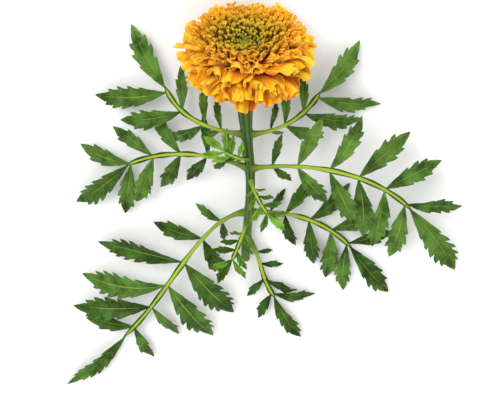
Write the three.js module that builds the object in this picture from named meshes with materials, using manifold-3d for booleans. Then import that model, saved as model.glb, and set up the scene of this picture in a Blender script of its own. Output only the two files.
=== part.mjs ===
// A picked double marigold laid on a flat surface: a globe of ray florets in an
// involucre on a cut stem, with pinnate leaves at its joints and young side shoots.
// Millimetres, +Z up. The origin is on the surface, under the middle of the whole part.
// The flower's face looks towards -Y and its stem runs back towards +Y.

import * as THREE from "three";
import { mergeVertices } from "three/addons/utils/BufferGeometryUtils.js";
import Module from "manifold-3d";

const wasm = await Module();
wasm.setup();

// ---------------------------------------------------------------- driving dimensions

const DEGREE = Math.PI / 180;
const GAP = 0.3;

// How the flower lies: its face is tipped up, and its axis meets the plane of the
// involucre's rim at this height above the surface.
const FACE_TIP = 13.5 * DEGREE;
const AXIS_HEIGHT = 33.8;
const RIM_AT = [8.95, -96.1];

// The head's outline and heart, as radius and height above the involucre's rim.
const HEAD_OUTLINE = [
  [29.5, -6.5],
  [35.3, 0.2],
  [38.3, 8.4],
  [38, 16.4],
  [34.8, 23.6],
  [27, 27.2],
  [16, 25.6],
  [0, 19.6],
];
const RECEPTACLE = { radius: 8.2, base: 1.0, rise: 3.4 };
const DOME_STATIONS = [0, 0.3, 0.6, 0.85];
const HEART_CLEARANCE = 0.5;
const FLORET_LIFT = 7;

// Ray florets, on one spiral from the skirt inwards. Each has a narrow claw and a fan limb.
const GOLDEN_ANGLE = 137.508 * DEGREE;
const RAY_COUNT = 40;
const RAY_SPAN = 0.6;
const RAY_THICKNESS = 0.8;
const CLAW_HALF_WIDTH = 1.2;
const LIMB_HALF_ANGLE = 14 * DEGREE;
const RAY_STATIONS = [0, 0.3, 0.62, 0.86, 1];
const RAY_WIDENING = [0, 0.3, 0.85, 1, 0.7];
const RAY_COLUMNS = 4;
const RAY_SHORTENING = 0.05;

// The short quilled florets towards the middle, as three close-set rings.
const RING_SEGMENTS = 24;
const RING_TOOTH = 0.6;
const RINGS = [
  { name: "crest_florets", from: 0.67, to: 0.765, colour: 0xe09a2a },
  { name: "inner_florets", from: 0.79, to: 0.885, colour: 0xc88c2e },
  { name: "centre_florets", from: 0.91, to: 1, colour: 0x84822c },
];

// Involucre: a thin green cup under the head, as radius and height, thinned at its foot
// round a bore that clears the stem.
const INVOLUCRE_WALL = 1.2;
const INVOLUCRE_BORE = 5.25;
const CUP_SEGMENTS = 20;
const INVOLUCRE_OUTSIDE = [
  [5.9, -18.5],
  [7.2, -14.5],
  [9, -9],
  [10.1, -3],
  [10.2, 0.2],
];

// Stem: radius at each height below the rim, swollen where the leaves join.
const STEM_END_RADIUS = 2.6;
const STEM_BOW = 3;
const STEM_STRAIGHT = -20;
const STEM_SIDES = 12;
const LEAF_JOINTS = [-42, -66, -98, -118];
const JOINT_RADIUS = 3.5;
const STEM_OUTLINE = [
  [2.65, -123],
  [JOINT_RADIUS - 0.4, -118],
  [2.8, -113],
  [2.8, -103],
  [JOINT_RADIUS, -98],
  [2.8, -93],
  [2.8, -71],
  [JOINT_RADIUS, -66],
  [2.8, -61],
  [2.9, -47],
  [3.7, -42],
  [3.6, -37],
  [4.2, -28],
  [4.8, -20],
  [4.9, -15],
  [5.9, -9],
  [7.2, -3],
];

// Leaves: the midrib's curve from a stem joint, in the lying flower's own frame with its
// origin on the surface under the involucre's rim, then the leaflets along it, each pair as
// [how far along, length towards +side, length towards -side], and the end leaflet. drop is
// the part of its height that a leaflet loses between its foot and its tip. Leaflets stand
// off their midrib at the first splay by its foot and at the second by its tip.
const RACHIS_RADIUS = [1.15, 0.65];
const RACHIS_SIDES = 6;
const RACHIS_STEPS = 9;
const LEAFLET_SPLAY = [68 * DEGREE, 54 * DEGREE];
const LEAFLET_HALF_WIDTH = 0.145;
const LEAFLET_HALF_THICKNESS = 0.6;
const LEAFLET_STATIONS = [0, 0.22, 0.5, 0.78, 1];
const LEAFLET_WIDENING = [0.3, 0.85, 1, 0.62, 0.08];
const LEAFLET_FOLD = 0.2;
const LEAFLET_ARCH = 0.07;
const END_LEAFLET_AT = 0.99;
const LOWEST_LEAF = 0.4;
const LEAVES = [
  {
    name: "top_leaf_a",
    joint: 0,
    drop: 0.75,
    route: [[20, 36, 30], [38, 32, 22], [46, 17, 9]],
    pairs: [[0.42, 28, 18], [0.68, 38, 22], [0.93, 42, 0], [0.24, 16, 14]],
    end: 40,
  },
  {
    name: "top_leaf_b",
    joint: 0,
    drop: 0.75,
    route: [[-18, 37, 30], [-33, 33, 22], [-43, 20, 10]],
    pairs: [[0.42, 18, 27], [0.68, 19, 36], [0.92, 0, 38], [0.25, 13, 12]],
    end: 37,
  },
  {
    name: "middle_leaf_a",
    joint: 1,
    drop: 0.75,
    route: [[20, 52, 24], [46, 50, 20], [70, 67, 7]],
    pairs: [[0.32, 24, 20], [0.52, 30, 26], [0.74, 34, 28], [0.95, 34, 31], [0.17, 14, 14]],
    end: 42,
  },
  {
    name: "middle_leaf_b",
    joint: 1,
    drop: 0.35,
    route: [[-26, 52, 38], [-70, 53, 41], [-98, 93, 13]],
    pairs: [[0.26, 30, 32], [0.42, 34, 40], [0.58, 38, 42], [0.75, 36, 40], [0.93, 34, 38], [0.13, 17, 17]],
    end: 52,
  },
  {
    name: "lower_leaf_a",
    joint: 2,
    drop: 0.8,
    route: [[26, 92, 20], [44, 146, 18], [76, 184, 4]],
    pairs: [[0.26, 32, 30], [0.42, 50, 52], [0.58, 48, 52], [0.74, 28, 48], [0.9, 26, 30], [0.13, 17, 17]],
    end: 54,
  },
  {
    name: "lower_leaf_b",
    joint: 2,
    drop: 0.85,
    route: [[-20, 96, 8], [-44, 98, 7], [-64, 122, 4]],
    pairs: [[0.3, 26, 24], [0.52, 32, 32], [0.74, 32, 34], [0.94, 28, 32], [0.16, 15, 15]],
    end: 40,
  },
  {
    name: "base_leaf",
    joint: 3,
    drop: 0.7,
    route: [[-10, 124, 7], [-8, 140, 7], [-18, 156, 4]],
    pairs: [[0.4, 14, 0], [0.64, 22, 17], [0.92, 26, 20], [0.22, 10, 0]],
    end: 34,
  },
];

// Young shoots in the leaf joints, made as small upright leaves.
const SHOOTS = [
  {
    name: "young_shoot_a",
    joint: 1,
    above: 7,
    drop: 0.05,
    route: [[2, 54, 30], [6, 50, 36], [12, 45, 39]],
    pairs: [[0.32, 7, 7], [0.52, 10, 10], [0.74, 12, 12], [0.96, 13, 13]],
    end: 15,
  },
  {
    name: "young_shoot_b",
    joint: 1,
    above: -7,
    drop: 0.05,
    route: [[-4, 73, 25], [-7, 79, 31], [-13, 86, 34]],
    pairs: [[0.32, 7, 7], [0.52, 10, 10], [0.74, 12, 12], [0.96, 13, 13]],
    end: 16,
  },
  {
    name: "young_shoot_c",
    joint: 2,
    above: -6,
    drop: 0.05,
    route: [[1, 104, 18], [4, 112, 24], [8, 120, 26]],
    pairs: [[0.32, 8, 8], [0.52, 12, 12], [0.74, 14, 14], [0.96, 15, 15]],
    end: 18,
  },
];

// ---------------------------------------------------------------- materials

function matt(colour, roughness) {
  return new THREE.MeshStandardMaterial({ color: colour, roughness, metalness: 0 });
}

const LEAF_GREEN = 0x4a7434;
const YOUNG_GREEN = 0x6c9a44;
const STEM_GREEN = 0x5f8a3e;
const RAY_GOLD = 0xe8a52c;

// ---------------------------------------------------------------- solids

function volumeOf(positions, index) {
  let sum = 0;
  const corner = [new THREE.Vector3(), new THREE.Vector3(), new THREE.Vector3()];
  for (let i = 0; i < index.length; i += 3) {
    corner.forEach((v, j) => v.fromArray(positions, index[i + j] * 3));
    sum += corner[0].dot(corner[1].clone().cross(corner[2])) / 6;
  }
  return sum;
}

// One closed body from points and triangles, with its faces pointing out.
function closedBody(positions, index) {
  const turned = volumeOf(positions, index) < 0;
  const faces = turned ? index.slice().reverse() : index;
  const geometry = new THREE.BufferGeometry();
  geometry.setAttribute("position", new THREE.Float32BufferAttribute(positions, 3));
  geometry.setIndex(faces);
  return geometry;
}

// The same body with its shared vertices merged and its empty triangles dropped.
function merged(geometry) {
  geometry.deleteAttribute("normal");
  geometry.deleteAttribute("uv");
  const whole = mergeVertices(geometry, 1e-4);
  const index = [];
  const all = whole.index.array;
  for (let i = 0; i < all.length; i += 3) {
    const [a, b, c] = all.slice(i, i + 3);
    if (a !== b && b !== c && c !== a) index.push(a, b, c);
  }
  return closedBody(Array.from(whole.attributes.position.array), index);
}

function toSolid(geometry) {
  return new wasm.Manifold(
    new wasm.Mesh({
      numProp: 3,
      vertProperties: new Float32Array(geometry.attributes.position.array),
      triVerts: new Uint32Array(geometry.index.array),
    }),
  );
}

function fromSolid(solid) {
  const mesh = solid.getMesh();
  return closedBody(Array.from(mesh.vertProperties), Array.from(mesh.triVerts));
}

// A solid through matching loops of points, closed by a fan across each end.
function loft(loops) {
  const count = loops[0].length;
  const positions = loops.flat().flatMap((p) => p.toArray());
  const index = [];
  for (let i = 0; i + 1 < loops.length; i++) {
    for (let j = 0; j < count; j++) {
      const a = i * count + j;
      const b = i * count + ((j + 1) % count);
      index.push(a, b, b + count, a, b + count, a + count);
    }
  }
  const last = (loops.length - 1) * count;
  for (let j = 1; j + 1 < count; j++) {
    index.push(0, j + 1, j, last, last + j, last + j + 1);
  }
  return closedBody(positions, index);
}

// A thin plate between two matching grids of points, upper and lower.
function plate(upper, lower) {
  const rows = upper.length;
  const columns = upper[0].length;
  const positions = [...upper.flat(), ...lower.flat()].flatMap((p) => p.toArray());
  const top = (i, j) => i * columns + j;
  const under = (i, j) => rows * columns + top(i, j);
  const index = [];
  const quad = (a, b, c, d) => index.push(a, b, c, a, c, d);
  for (let i = 0; i + 1 < rows; i++) {
    for (let j = 0; j + 1 < columns; j++) {
      quad(top(i, j), top(i + 1, j), top(i + 1, j + 1), top(i, j + 1));
      quad(under(i, j), under(i, j + 1), under(i + 1, j + 1), under(i + 1, j));
    }
    quad(top(i, 0), under(i, 0), under(i + 1, 0), top(i + 1, 0));
    const edge = columns - 1;
    quad(top(i, edge), top(i + 1, edge), under(i + 1, edge), under(i, edge));
  }
  for (let j = 0; j + 1 < columns; j++) {
    quad(top(0, j), top(0, j + 1), under(0, j + 1), under(0, j));
    const end = rows - 1;
    quad(top(end, j), under(end, j), under(end, j + 1), top(end, j + 1));
  }
  return closedBody(positions, index);
}

// A repeatable scatter between 0 and 1 for the nth of a row of pieces.
function scatter(n) {
  const wave = Math.sin(n * 12.9898) * 43758.5453;
  return wave - Math.floor(wave);
}

// ---------------------------------------------------------------- the flower's own frame

const group = new THREE.Group();
const laid = new THREE.Group();
laid.position.set(RIM_AT[0], RIM_AT[1], 0);
group.add(laid);

// The bloom's own axis is +Z through the involucre, turned here to lie on the surface.
const bloom = new THREE.Group();
bloom.rotation.set(FACE_TIP - Math.PI / 2, 0, Math.PI, "ZYX");
bloom.position.set(0, 0, AXIS_HEIGHT);
laid.add(bloom);
bloom.updateMatrix();

function addPiece(parent, name, geometry, colour, roughness) {
  const mesh = new THREE.Mesh(geometry, matt(colour, roughness));
  mesh.name = name;
  parent.add(mesh);
}

// What the surface leaves of a soft piece that is pressed on it.
const SLAB = { side: 300, depth: 20 };
const slab = new THREE.BoxGeometry(SLAB.side, SLAB.side, SLAB.depth);
slab.translate(0, 0, -SLAB.depth / 2).applyMatrix4(bloom.matrix.clone().invert());
const slabSolid = toSolid(merged(slab));

function pressedOnSurface(geometry) {
  const lowest = new THREE.Box3().setFromBufferAttribute(
    geometry.clone().applyMatrix4(bloom.matrix).attributes.position,
  ).min.z;
  if (lowest >= 0) return geometry;
  return fromSolid(toSolid(geometry).subtract(slabSolid));
}

// ---------------------------------------------------------------- florets

const outline = new THREE.SplineCurve(HEAD_OUTLINE.map(([r, w]) => new THREE.Vector2(r, w)));

function heartPoint(t, clearance) {
  const turn = (t * Math.PI) / 2;
  return new THREE.Vector2(
    (RECEPTACLE.radius + clearance) * Math.cos(turn),
    RECEPTACLE.base + (RECEPTACLE.rise + clearance) * Math.sin(turn),
  );
}

// The line of a floret from the receptacle to the head's outline. t runs from the skirt,
// 0, to the middle, 1, and no two of these lines cross.
function floretLine(t) {
  const inside = heartPoint(t, HEART_CLEARANCE);
  const outside = outline.getPoint(t);
  const middle = inside.clone().lerp(outside, 0.5);
  middle.y += FLORET_LIFT * (1 - t) ** 2;
  return new THREE.QuadraticBezierCurve(inside, middle, outside);
}

function aroundAxis(radius, height, angle) {
  return new THREE.Vector3(radius * Math.cos(angle), radius * Math.sin(angle), height);
}

// One ray floret: a claw that widens into a fan limb, wrapped on its own floret line.
function rayFloret(k) {
  const line = floretLine((RAY_SPAN * (k + 0.5)) / RAY_COUNT);
  const reach = 1 - RAY_SHORTENING * scatter(k);
  const tipHalfWidth = line.getPoint(reach).x * Math.sin(LIMB_HALF_ANGLE);
  const face = (side) =>
    RAY_STATIONS.map((station, i) => {
      const at = line.getPoint(station * reach);
      const along = line.getTangent(station * reach);
      const half = THREE.MathUtils.lerp(CLAW_HALF_WIDTH, tipHalfWidth, RAY_WIDENING[i]);
      const radius = at.x - (side * along.y * RAY_THICKNESS) / 2;
      const height = at.y + (side * along.x * RAY_THICKNESS) / 2;
      return Array.from({ length: RAY_COLUMNS }, (_, j) => {
        const across = (2 * j) / (RAY_COLUMNS - 1) - 1;
        return aroundAxis(radius, height, k * GOLDEN_ANGLE + (half / at.x) * across);
      });
    });
  return pressedOnSurface(plate(face(1), face(-1)));
}

for (let k = 0; k < RAY_COUNT; k++) {
  const number = String(k + 1).padStart(2, "0");
  addPiece(bloom, `ray_floret_${number}`, rayFloret(k), RAY_GOLD, 0.6);
}

// A ring of short florets as one toothed body between two floret lines, or, where it
// reaches the middle, a toothed plug.
function floretRing(from, to) {
  const climb = [0, 0.4, 0.75, 1];
  const rise = climb.map((s) => floretLine(from).getPoint(s));
  const crown = [0.35, 0.7, 1].map((part) => outline.getPoint(from + (to - from) * part));
  const fall = climb.toReversed().slice(1).map((s) => floretLine(to).getPoint(s));
  const heart = new THREE.Vector2(0, heartPoint(1, HEART_CLEARANCE).y);
  if (to === 1) crown.at(-1).x = 0;
  const profile = to < 1 ? [...rise, ...crown, ...fall, rise[0]] : [heart, ...rise, ...crown];
  const toothed = [rise.at(-1), ...crown].filter((p) => p.x > 0);
  const geometry = new THREE.LatheGeometry(profile, RING_SEGMENTS);
  const place = geometry.attributes.position;
  for (let i = 0; i < place.count; i++) {
    const segment = Math.floor(i / profile.length);
    const point = i % profile.length;
    const sunk = toothed.includes(profile[point]) && (segment + point) % 2;
    if (sunk) place.setY(i, place.getY(i) - RING_TOOTH);
  }
  return merged(geometry.rotateX(Math.PI / 2));
}

for (const ring of RINGS) {
  addPiece(bloom, ring.name, floretRing(ring.from, ring.to), ring.colour, 0.65);
}

// ---------------------------------------------------------------- involucre and stem

const cup = INVOLUCRE_OUTSIDE.map(([r, w]) => new THREE.Vector2(r, w));
const cupBore = (radius) => Math.max(radius - INVOLUCRE_WALL, INVOLUCRE_BORE);
const cupInside = cup.map((p) => new THREE.Vector2(cupBore(p.x), p.y)).reverse();
const cupGeometry = new THREE.LatheGeometry([...cup, ...cupInside, cup[0]], CUP_SEGMENTS);
addPiece(bloom, "involucre", merged(cupGeometry.rotateX(Math.PI / 2)), STEM_GREEN, 0.55);

// The stem runs back until its cut end rests on the surface.
const restingHeight = AXIS_HEIGHT - STEM_END_RADIUS * Math.cos(FACE_TIP);
const STEM_LENGTH = restingHeight / Math.sin(FACE_TIP);

function stemBow(height) {
  const along = Math.max(0, STEM_STRAIGHT - height) / (STEM_LENGTH + STEM_STRAIGHT);
  return (STEM_BOW * (1 - Math.cos(2 * Math.PI * along))) / 2;
}

function stemRadius(height) {
  const next = STEM_OUTLINE.findIndex(([, top]) => top >= height);
  const [[narrow, low], [wide, high]] = STEM_OUTLINE.slice(next - 1, next + 1);
  return THREE.MathUtils.lerp(narrow, wide, (height - low) / (high - low));
}

function stemLoop(radius, height) {
  const loop = [];
  for (let i = 0; i < STEM_SIDES; i++) {
    const point = aroundAxis(radius, height, (2 * Math.PI * i) / STEM_SIDES);
    point.x += stemBow(height);
    loop.push(point);
  }
  return loop;
}

const domeRings = DOME_STATIONS.map((t) => heartPoint(t, 0));
const stemLoops = [
  stemLoop(STEM_END_RADIUS, -STEM_LENGTH),
  ...STEM_OUTLINE.map(([radius, height]) => stemLoop(radius, height)),
  ...domeRings.map((p) => stemLoop(p.x, p.y)),
];
addPiece(bloom, "stem", loft(stemLoops), STEM_GREEN, 0.6);

// ---------------------------------------------------------------- leaves

function rachisSolid(curve) {
  const frames = curve.computeFrenetFrames(RACHIS_STEPS, false);
  const loops = [];
  for (let i = 0; i <= RACHIS_STEPS; i++) {
    const centre = curve.getPointAt(i / RACHIS_STEPS);
    const radius = THREE.MathUtils.lerp(...RACHIS_RADIUS, i / RACHIS_STEPS);
    const loop = [];
    for (let j = 0; j < RACHIS_SIDES; j++) {
      const turn = (2 * Math.PI * j) / RACHIS_SIDES;
      const side = frames.normals[i].clone().multiplyScalar(radius * Math.cos(turn));
      const up = frames.binormals[i].clone().multiplyScalar(radius * Math.sin(turn));
      loop.push(centre.clone().add(side).add(up));
    }
    loops.push(loop);
  }
  return toSolid(loft(loops));
}

// A leaflet is a lens-shaped blade, arched along its length and folded up at its edges.
function leafletSolid(base, heading, length, drop) {
  const tip = base.clone().addScaledVector(heading, length);
  tip.z = Math.max(LOWEST_LEAF, base.z * (1 - drop));
  const middle = base.clone().lerp(tip, 0.5);
  middle.z += 2 * LEAFLET_ARCH * length;
  const line = new THREE.QuadraticBezierCurve3(base, middle, tip);
  const side = new THREE.Vector3(-heading.y, heading.x, 0);
  const loops = LEAFLET_STATIONS.map((station, i) => {
    const centre = line.getPoint(station);
    const half = LEAFLET_HALF_WIDTH * length * LEAFLET_WIDENING[i];
    const thick = station < 1 ? LEAFLET_HALF_THICKNESS : LEAFLET_HALF_THICKNESS / 3;
    const [right, left] = [1, -1].map((sign) => {
      const edge = centre.clone().addScaledVector(side, sign * half);
      edge.z += LEAFLET_FOLD * half;
      return edge;
    });
    const over = centre.clone().setZ(centre.z + thick);
    const under = centre.clone().setZ(centre.z - thick);
    return [right, over, left, under];
  });
  return toSolid(loft(loops));
}

// Where a leaf leaves the stem, clear of its skin all round the foot of the midrib.
function leafFoot(height, towards) {
  const centre = new THREE.Vector3(stemBow(height), 0, height).applyMatrix4(bloom.matrix);
  const axis = new THREE.Vector3(0, 0, 1).transformDirection(bloom.matrix);
  const outward = towards.clone().sub(centre).normalize();
  const lean = outward.dot(axis);
  const sideways = outward.clone().addScaledVector(axis, -lean).normalize();
  const clearance = stemRadius(height) + GAP + RACHIS_RADIUS[0] * Math.abs(lean);
  return centre.addScaledVector(sideways, clearance).addScaledVector(axis, lean * clearance);
}

function leafSolid({ joint, above = 0, drop, route, pairs, end }) {
  const stops = route.map((p) => new THREE.Vector3(...p));
  const foot = leafFoot(LEAF_JOINTS[joint] + above, stops[0]);
  const curve = new THREE.CubicBezierCurve3(foot, ...stops);
  let solid = rachisSolid(curve);
  const spread = (at, turn, length) => {
    const tangent = curve.getTangentAt(at).setZ(0).normalize();
    const heading = tangent.applyAxisAngle(new THREE.Vector3(0, 0, 1), turn);
    solid = solid.add(leafletSolid(curve.getPointAt(at), heading, length, drop));
  };
  for (const [at, plus, minus] of pairs) {
    const splay = THREE.MathUtils.lerp(...LEAFLET_SPLAY, at);
    if (plus > 0) spread(at, splay, plus);
    if (minus > 0) spread(at, -splay, minus);
  }
  spread(END_LEAFLET_AT, 0, end);
  return fromSolid(solid);
}

for (const leaf of LEAVES) {
  addPiece(laid, leaf.name, leafSolid(leaf), LEAF_GREEN, 0.5);
}
for (const shoot of SHOOTS) {
  addPiece(laid, shoot.name, leafSolid(shoot), YOUNG_GREEN, 0.5);
}

export default group;
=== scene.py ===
"""A picked double marigold lying on a pale surface: a globe of ruffled florets on a cut,
leafy stem, built floret by floret and leaflet by leaflet around its construction frame."""

import math

import bpy
import numpy as np
from mathutils import Matrix, Vector


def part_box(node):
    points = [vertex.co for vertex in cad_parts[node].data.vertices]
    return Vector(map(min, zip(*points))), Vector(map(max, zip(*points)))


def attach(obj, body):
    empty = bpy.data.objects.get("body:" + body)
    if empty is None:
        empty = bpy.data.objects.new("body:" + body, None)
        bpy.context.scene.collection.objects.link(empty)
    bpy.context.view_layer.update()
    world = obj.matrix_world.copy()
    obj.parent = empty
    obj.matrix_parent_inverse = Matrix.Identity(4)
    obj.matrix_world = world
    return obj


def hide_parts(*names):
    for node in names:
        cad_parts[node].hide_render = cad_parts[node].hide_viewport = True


bl_info = {
    "name": "Picked Marigold",
    "version": (1, 0, 0),
    "blender": (4, 5, 0),
    "location": "3D View > Sidebar > Marigold",
    "description": "Builds a cut double marigold with its leaves on a softly lit stage",
    "category": "Add Mesh",
}

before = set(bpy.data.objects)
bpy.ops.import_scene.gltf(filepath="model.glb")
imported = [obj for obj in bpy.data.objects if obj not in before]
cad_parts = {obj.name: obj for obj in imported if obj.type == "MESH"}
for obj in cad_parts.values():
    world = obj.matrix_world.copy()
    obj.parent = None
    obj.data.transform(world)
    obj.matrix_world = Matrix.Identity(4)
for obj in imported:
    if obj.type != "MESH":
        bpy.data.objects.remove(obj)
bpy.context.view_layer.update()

# Lengths below are millimetres in the flower's own frame, whose +Z is the bloom's axis
# from the involucre's rim towards its face, unless a name says otherwise.
MM = 0.001
GOLDEN_ANGLE = math.radians(137.508)
SHARP_FOLD = math.radians(75)

# The head's outline from the skirt to the middle, as radius and height, and how far it
# stands out of round, every 30 degrees about its axis.
HEAD_OUTLINE = np.array(
    [
        (29.5, -6.5), (35.3, 0.2), (38.3, 8.4), (38, 16.4),
        (34.8, 23.6), (27, 27.2), (16, 25.6), (0, 19.6),
    ]
)
HEAD_UNEVEN = (-1.0, 2.0, -1.5, 0.0, 1.5, -2.0, 1.0, -1.5, -2.0, 0.5, 4.0, 1.5)
# The receptacle inside the head, on which the florets stand.
HEART = {"radius": 8.7, "base": 1.0, "rise": 3.9}
RAY_NODES = sorted(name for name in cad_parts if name.startswith("ray_floret_"))
RAY_SPAN = 0.6
CLAW_HALF_WIDTH = 1.5
# Rows and columns of the sheets that make a broad floret and a bud.
FAN_GRID = (24, 43)
BUD_GRID = (15, 13)

# The stem bows sideways by STEM_BOW below the height where it stops being straight. Its
# radii are those of its cut end and then of each of STEM_HEIGHTS.
STEM_END_RADIUS = 2.6
STEM_BOW = 3.0
STEM_STRAIGHT = -20.0
STEM_HEIGHTS = (-120, -60, -47, -37, -28, -20, -15, -9, -3, 0)
STEM_RADII = (2.55, 2.65, 2.75, 2.9, 3.4, 4.1, 4.7, 4.9, 5.8, 7.1, 8.0)
LEAF_JOINTS = (-42.0, -66.0, -98.0, -118.0)

# Each leaf: its stem joint, the drop of its leaflets, its midrib's curve in the lying
# flower's frame, its leaflet pairs as (how far along, + side length, - side length), and
# the length of its end leaflet. A pair's place in its list seeds its scatter, so a grown
# leaf's small pair nearest the stem keeps the last place.
LEAVES = {
    "top_leaf_a": {
        "joint": LEAF_JOINTS[0],
        "drop": 0.75,
        "route": [(20, 36, 30), (38, 32, 22), (46, 17, 9)],
        "pairs": [(0.42, 28, 18), (0.68, 38, 22), (0.93, 42, 0), (0.24, 16, 14)],
        "end": 40,
    },
    "top_leaf_b": {
        "joint": LEAF_JOINTS[0],
        "drop": 0.75,
        "route": [(-18, 37, 30), (-33, 33, 22), (-43, 20, 10)],
        "pairs": [(0.42, 18, 27), (0.68, 19, 36), (0.92, 0, 38), (0.25, 13, 12)],
        "end": 37,
    },
    "middle_leaf_a": {
        "joint": LEAF_JOINTS[1],
        "drop": 0.75,
        "route": [(20, 52, 24), (46, 50, 20), (70, 67, 7)],
        "pairs": [(0.32, 24, 20), (0.52, 30, 26), (0.74, 34, 28), (0.95, 34, 31), (0.17, 14, 14)],
        "end": 42,
    },
    "middle_leaf_b": {
        "joint": LEAF_JOINTS[1],
        "drop": 0.35,
        "route": [(-26, 52, 38), (-70, 53, 41), (-98, 93, 13)],
        "pairs": [
            (0.26, 30, 32), (0.42, 34, 40), (0.58, 38, 42), (0.75, 36, 40), (0.93, 34, 38),
            (0.13, 17, 17),
        ],
        "end": 52,
    },
    "lower_leaf_a": {
        "joint": LEAF_JOINTS[2],
        "drop": 0.8,
        "route": [(26, 92, 20), (44, 146, 18), (76, 184, 4)],
        "pairs": [
            (0.26, 32, 30), (0.42, 50, 52), (0.58, 48, 52), (0.74, 28, 48), (0.9, 26, 30),
            (0.13, 17, 17),
        ],
        "end": 54,
        "end_width": 0.62,
    },
    "lower_leaf_b": {
        "joint": LEAF_JOINTS[2],
        "drop": 0.85,
        "route": [(-20, 96, 8), (-44, 98, 7), (-64, 122, 4)],
        "pairs": [(0.3, 26, 24), (0.52, 32, 32), (0.74, 32, 34), (0.94, 28, 32), (0.16, 15, 15)],
        "end": 40,
    },
    "base_leaf": {
        "joint": LEAF_JOINTS[3],
        "drop": 0.7,
        "route": [(-10, 124, 7), (-8, 140, 7), (-18, 156, 4)],
        "pairs": [(0.4, 14, 0), (0.64, 22, 17), (0.92, 26, 20), (0.22, 10, 0)],
        "end": 34,
    },
}
SHOOTS = {
    "young_shoot_a": {
        "joint": LEAF_JOINTS[1] + 7,
        "drop": 0.05,
        "route": [(2, 54, 30), (6, 50, 36), (12, 45, 39)],
        "pairs": [(0.32, 7, 7), (0.52, 10, 10), (0.74, 12, 12), (0.96, 13, 13)],
        "end": 15,
    },
    "young_shoot_b": {
        "joint": LEAF_JOINTS[1] - 7,
        "drop": 0.05,
        "route": [(-4, 73, 25), (-7, 79, 31), (-13, 86, 34)],
        "pairs": [(0.32, 7, 7), (0.52, 10, 10), (0.74, 12, 12), (0.96, 13, 13)],
        "end": 16,
    },
    "young_shoot_c": {
        "joint": LEAF_JOINTS[2] - 6,
        "drop": 0.05,
        "route": [(1, 104, 18), (4, 112, 24), (8, 120, 26)],
        "pairs": [(0.32, 8, 8), (0.52, 12, 12), (0.74, 14, 14), (0.96, 15, 15)],
        "end": 18,
    },
}


# Settings
# --------


class MarigoldHead(bpy.types.PropertyGroup):
    """How the flower lies, and the florets' sizes and colours"""

    face_tip: bpy.props.FloatProperty(
        name="Face tip",
        description="How far the flower's face is tipped up from the surface",
        default=math.radians(13.5),
        subtype="ANGLE",
        unit="ROTATION",
    )
    axis_height: bpy.props.FloatProperty(
        name="Axis height",
        description="Height of the flower's axis above the surface at the involucre's rim",
        default=0.0338,
        subtype="DISTANCE",
        unit="LENGTH",
    )
    petal_thickness: bpy.props.FloatProperty(
        name="Petal thickness",
        description="Thickness of a ray floret's limb",
        default=0.00028,
        subtype="DISTANCE",
        unit="LENGTH",
    )
    ruffle: bpy.props.FloatProperty(
        name="Ruffle depth",
        description="How far a ray floret's folds rise and fall at its edge",
        default=0.0022,
        subtype="DISTANCE",
        unit="LENGTH",
    )
    limb_width: bpy.props.FloatProperty(
        name="Limb width",
        description="Width of a ray floret's limb, measured along its folds",
        default=0.0198,
        subtype="DISTANCE",
        unit="LENGTH",
    )
    edge_colour: bpy.props.FloatVectorProperty(
        name="Edge",
        description="Petal colour at its edge",
        default=(0.97, 0.62, 0.016),
        subtype="COLOR",
    )
    limb_colour: bpy.props.FloatVectorProperty(
        name="Limb",
        description="Petal colour in the middle of its limb",
        default=(0.94, 0.41, 0.010),
        subtype="COLOR",
    )
    # The throat's deep orange is partly the petal's own colour and partly painted shade, deepest
    # where the limb sinks into the head.
    throat_colour: bpy.props.FloatVectorProperty(
        name="Throat",
        description="Petal colour where the limb narrows to its claw",
        default=(0.72, 0.14, 0.004),
        subtype="COLOR",
    )
    centre_colour: bpy.props.FloatVectorProperty(
        name="Centre",
        description="Colour of the unopened buds in the middle",
        default=(0.30, 0.30, 0.026),
        subtype="COLOR",
    )


class MarigoldGreens(bpy.types.PropertyGroup):
    """The stem's and the leaves' sizes and colours"""

    blade_thickness: bpy.props.FloatProperty(
        name="Blade thickness",
        description="Thickness of a leaflet's blade",
        default=0.00035,
        subtype="DISTANCE",
        unit="LENGTH",
    )
    tooth_depth: bpy.props.FloatProperty(
        name="Tooth depth",
        description="How deep the teeth cut into a leaflet, as a part of its half width",
        default=0.33,
        subtype="FACTOR",
        min=0.0,
        max=0.6,
    )
    rib_height: bpy.props.FloatProperty(
        name="Stem ribs",
        description="Height of the ribs that run down the stem",
        default=0.00022,
        subtype="DISTANCE",
        unit="LENGTH",
    )
    leaf_colour: bpy.props.FloatVectorProperty(
        name="Leaf",
        description="Colour of a grown leaf's upper face",
        default=(0.047, 0.112, 0.014),
        subtype="COLOR",
    )
    rib_colour: bpy.props.FloatVectorProperty(
        name="Leaf rib",
        description="Colour of the midribs",
        default=(0.40, 0.54, 0.045),
        subtype="COLOR",
    )
    young_colour: bpy.props.FloatVectorProperty(
        name="Young leaf",
        description="Colour of the young shoots",
        default=(0.085, 0.20, 0.015),
        subtype="COLOR",
    )
    stem_colour: bpy.props.FloatVectorProperty(
        name="Stem",
        description="Colour of the stem's skin",
        default=(0.030, 0.062, 0.010),
        subtype="COLOR",
    )


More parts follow.
